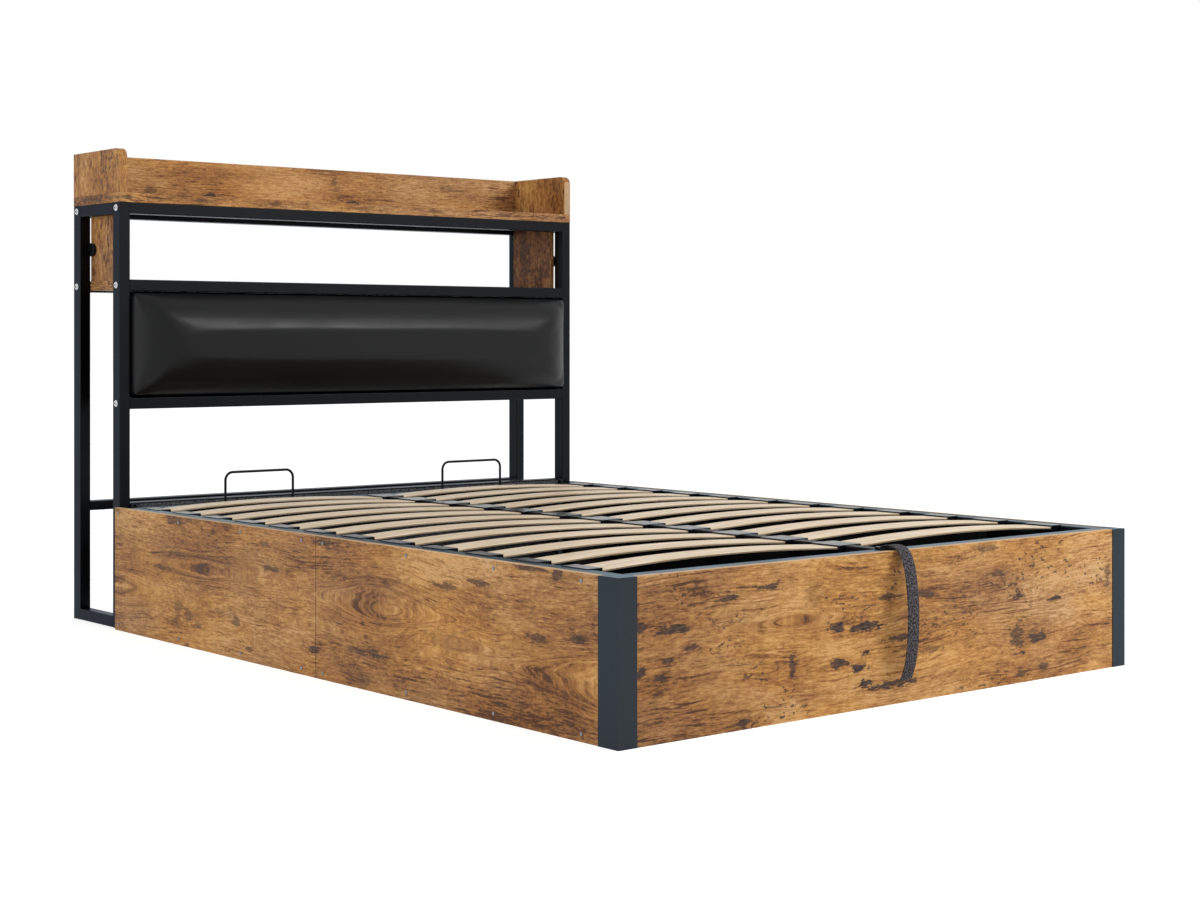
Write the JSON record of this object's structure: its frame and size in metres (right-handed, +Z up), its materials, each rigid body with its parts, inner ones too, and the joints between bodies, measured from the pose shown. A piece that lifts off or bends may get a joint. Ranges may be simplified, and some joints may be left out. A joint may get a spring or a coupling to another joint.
{
  "type": "storage bed",
  "caption": "Queen storage bed with a wood-and-steel box, a slatted platform that lifts on gas springs, a pull strap and a headboard with a padded panel and shelves.",
  "frame": {"origin": "on the floor, under the middle of the space that the whole bed takes", "axes": "+Y from the foot towards the headboard, +Z up, +X to the right of someone who looks at the headboard from the foot"},
  "size_m": [1.55, 2.3539, 1.265],
  "materials": {
    "wood": "matt rustic laminate",
    "steel": "satin powder coat",
    "fixings": "zinc plated",
    "rod": "polished",
    "lining": "non-woven, speckled grey",
    "padding": "smooth black artificial leather",
    "webbing": "heathered woven webbing",
    "slats": "pale laminated wood",
    "plastic": "satin black"
  },
  "bodies": {
    "base": {"foot_panel": "wood", "left_head_panel": "wood", "right_head_panel": "wood", "left_foot_panel": "wood", "right_foot_panel": "wood", "shelf_board": "wood", "left_cheek": "wood", "right_cheek": "wood", "back_board": "wood", "lower_shelf": "wood", "left_end_panel": "wood", "right_end_panel": "wood", "left_upper_rail": "steel", "right_upper_rail": "steel", "foot_upper_rail": "steel", "left_lower_rail": "steel", "right_lower_rail": "steel", "foot_lower_rail": "steel", "left_corner_post": "steel", "right_corner_post": "steel", "side_uprights": "steel", "left_side_frame": "steel", "right_side_frame": "steel", "top_front_bar": "steel", "top_back_bar": "steel", "cushion_top_bar": "steel", "mid_back_bar": "steel", "cushion_bottom_bar": "steel", "head_crossbar": "steel", "low_back_bar": "steel", "hinge_lugs": "steel", "spring_lower_brackets": "steel", "panel_screws": "fixings", "frame_bolts": "fixings", "hinge_bolts": "fixings", "head_cloth": "lining", "floor_cloth": "lining", "cushion": "padding", "panel_knobs": "plastic"},
    "platform": {"left_lift_tube": "steel", "right_lift_tube": "steel", "foot_lift_tube": "steel", "head_lift_tube": "steel", "centre_beam": "steel", "left_slats": "slats", "right_slats": "slats", "outer_holders": "plastic", "centre_holders": "plastic", "left_stop": "steel", "right_stop": "steel", "pull_strap": "webbing", "strap_anchor": "plastic", "hinge_ears": "steel", "spring_upper_brackets": "steel"},
    "left_cylinder": {"left_cylinder": "steel"},
    "right_cylinder": {"right_cylinder": "steel"},
    "left_rod": {"left_rod": "rod"},
    "right_rod": {"right_rod": "rod"}
  },
  "joints": [
    {"name": "platform_lift", "type": "hinge", "parent": "base", "child": "platform", "pos_m": [0, 0.881, 0.304], "axis": [-1, 0, 0], "range_deg": [0, 40]},
    {"name": "left_cylinder_tilt", "type": "hinge", "parent": "base", "child": "left_cylinder", "pos_m": [-0.705, 0.68469, 0.0387], "axis": [-1, 0, 0], "range_deg": [0, 20]},
    {"name": "left_rod_tilt", "type": "hinge", "parent": "platform", "child": "left_rod", "pos_m": [-0.705, 0.55158, 0.28385], "axis": [-1, 0, 0], "range_deg": [-20, 0]},
    {"name": "right_cylinder_tilt", "type": "hinge", "parent": "base", "child": "right_cylinder", "pos_m": [0.705, 0.68469, 0.0387], "axis": [-1, 0, 0], "range_deg": [0, 20]},
    {"name": "right_rod_tilt", "type": "hinge", "parent": "platform", "child": "right_rod", "pos_m": [0.705, 0.55158, 0.28385], "axis": [-1, 0, 0], "range_deg": [-20, 0]}
  ],
  "couplings": [
    {"joint": "left_cylinder_tilt", "follows": "platform_lift", "ratio": 0.5},
    {"joint": "left_rod_tilt", "follows": "platform_lift", "ratio": -0.5},
    {"joint": "right_cylinder_tilt", "follows": "platform_lift", "ratio": 0.5},
    {"joint": "right_rod_tilt", "follows": "platform_lift", "ratio": -0.5}
  ]
}
